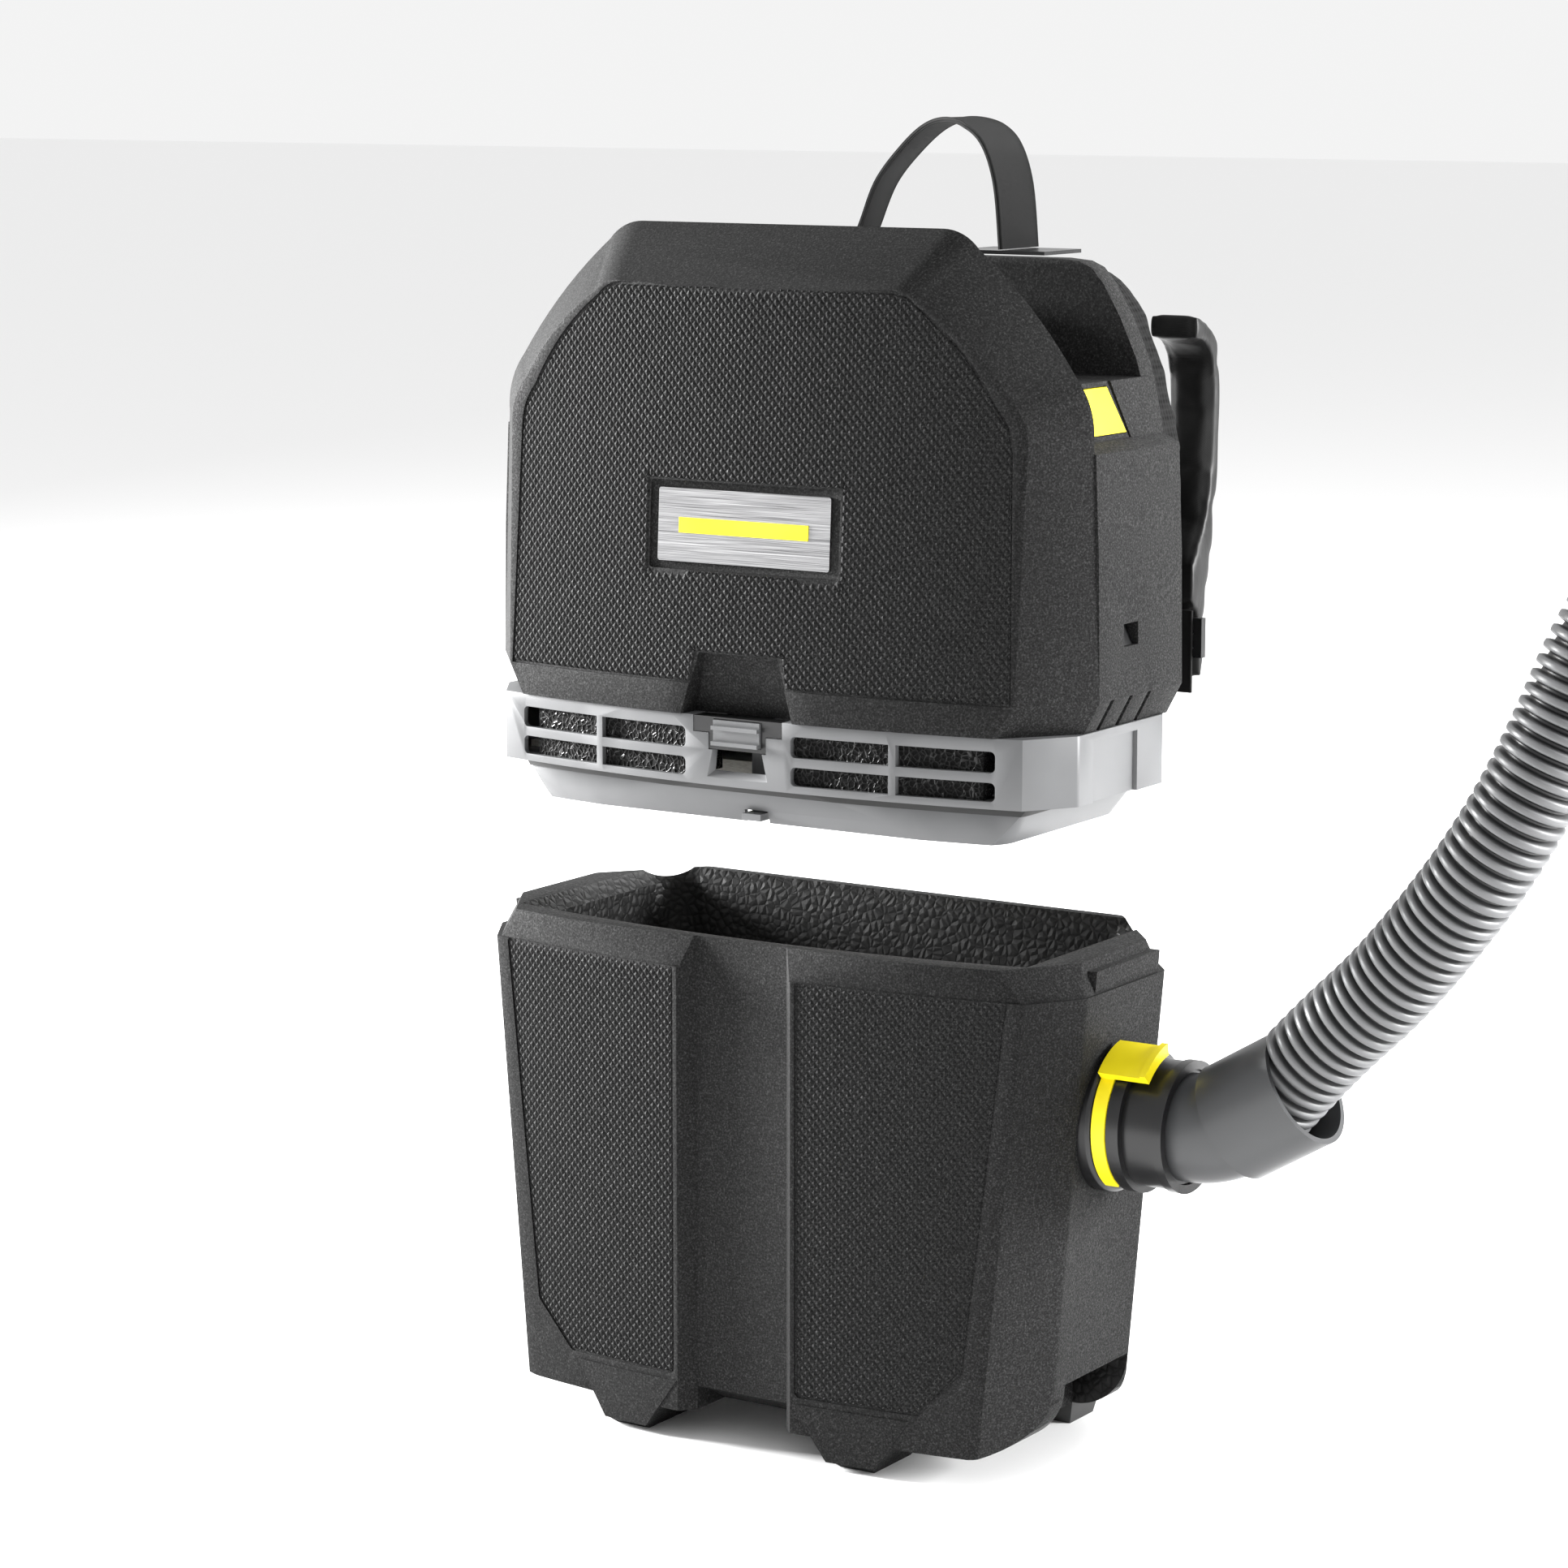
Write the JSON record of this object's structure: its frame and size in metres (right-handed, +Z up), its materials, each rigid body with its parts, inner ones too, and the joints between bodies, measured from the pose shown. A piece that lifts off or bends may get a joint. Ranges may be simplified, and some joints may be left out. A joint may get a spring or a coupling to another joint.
{
  "type": "backpack vacuum cleaner",
  "caption": "Battery backpack vacuum cleaner with foam-shell dust container, lifted-off motor head, filter frame, side suction hose, back pad, straps and webbing handle.",
  "frame": {"origin": "on the floor, under the middle of the machine", "axes": "+Z up, +Y towards the wearer's back, front faces -Y, the hose port is on the +X side"},
  "size_m": [0.8692, 0.4559, 0.5978],
  "materials": {
    "foam_shell": "expanded bead foam, charcoal, fine texture",
    "grey_plastic": "moulded light grey, fine satin",
    "dark_plastic": "moulded black, fine satin",
    "yellow_plastic": "moulded yellow, semi-gloss",
    "black_rubber": "matt rubber",
    "hose_plastic": "flexible ribbed plastic",
    "badge_metal": "brushed, silver",
    "steel": "bright wire and rod",
    "filter_paper": "pleated filter medium",
    "filter_foam": "open-cell foam",
    "bag_fleece": "needled fleece",
    "pad_mesh": "spacer mesh over foam",
    "webbing": "woven polyester tape",
    "board_green": "coated circuit board",
    "motor_metal": "plated steel can"
  },
  "bodies": {
    "container": {"container_tub": "foam_shell", "front_foot_right": "dark_plastic", "front_foot_left": "dark_plastic", "rear_feet": "dark_plastic", "latch_keeper": "dark_plastic", "inlet_flange": "dark_plastic", "inlet_seal": "black_rubber", "inlet_nut": "dark_plastic", "hose_collar": "dark_plastic", "hose_elbow": "grey_plastic", "hose_cuff": "hose_plastic", "suction_hose": "hose_plastic", "hose_end_connector": "dark_plastic", "bag_collar": "dark_plastic", "dust_bag": "bag_fleece"},
    "head": {"filter_frame": "grey_plastic", "sealing_skirt": "grey_plastic", "skirt_gasket": "black_rubber", "main_filter": "filter_paper", "exhaust_foam_right": "filter_foam", "exhaust_foam_left": "filter_foam", "latch_housing": "dark_plastic", "latch_spring": "steel", "latch_stop": "dark_plastic", "front_cover": "foam_shell", "badge_plate": "badge_metal", "badge_stripe": "yellow_plastic", "rear_body": "foam_shell", "power_bezel": "dark_plastic", "release_spring": "steel", "power_spring": "steel", "side_clips": "grey_plastic", "battery_terminals": "dark_plastic", "motor_housing_lower": "dark_plastic", "motor_housing_upper": "dark_plastic", "motor": "motor_metal", "motor_mount_ring": "black_rubber", "motor_filter": "filter_foam", "control_board": "board_green", "board_standoffs": "dark_plastic", "frame_screws": "steel", "back_plate": "grey_plastic", "back_pad": "pad_mesh", "shoulder_strap_right": "pad_mesh", "shoulder_strap_left": "pad_mesh", "strap_webbing_right": "webbing", "strap_webbing_left": "webbing", "strap_buckles": "dark_plastic", "top_handle": "webbing", "handle_anchors": "webbing"},
    "lock_ring": {"lock_ring": "yellow_plastic"},
    "latch": {"latch_button": "grey_plastic"},
    "battery": {"battery_pack": "dark_plastic"},
    "release": {"battery_release_button": "yellow_plastic"},
    "power": {"power_button": "yellow_plastic"},
    "fan": {"fan_impeller": "grey_plastic", "motor_shaft": "steel"}
  },
  "joints": [
    {"name": "head_lift", "type": "slide", "parent": "container", "child": "head", "axis": [0, 0, 1], "range_m": [-0.0695, 0]},
    {"name": "lock_ring_turn", "type": "hinge", "parent": "container", "child": "lock_ring", "pos_m": [0.162, -0.019, 0.161], "axis": [1, 0, 0], "range_deg": [0, 22]},
    {"name": "latch_press", "type": "slide", "parent": "head", "child": "latch", "axis": [0, 1, 0], "range_m": [0, 0.005], "stiffness_N_per_m": 600, "springref_m": -0.001, "deforming": ["latch_spring"]},
    {"name": "battery_slide", "type": "slide", "parent": "head", "child": "battery", "axis": [0, 0, 1], "range_m": [0, 0.1]},
    {"name": "battery_release_press", "type": "slide", "parent": "head", "child": "release", "axis": [-1, 0, 0], "range_m": [0, 0.003], "stiffness_N_per_m": 500, "springref_m": -0.001, "deforming": ["release_spring"]},
    {"name": "power_button_press", "type": "slide", "parent": "head", "child": "power", "axis": [1, 0, 0], "range_m": [0, 0.002], "stiffness_N_per_m": 500, "springref_m": -0.001, "deforming": ["power_spring"]},
    {"name": "fan_spin", "type": "hinge", "parent": "head", "child": "fan", "pos_m": [0, -0.024, 0.355], "axis": [0, 0, 1], "continuous": true}
  ]
}
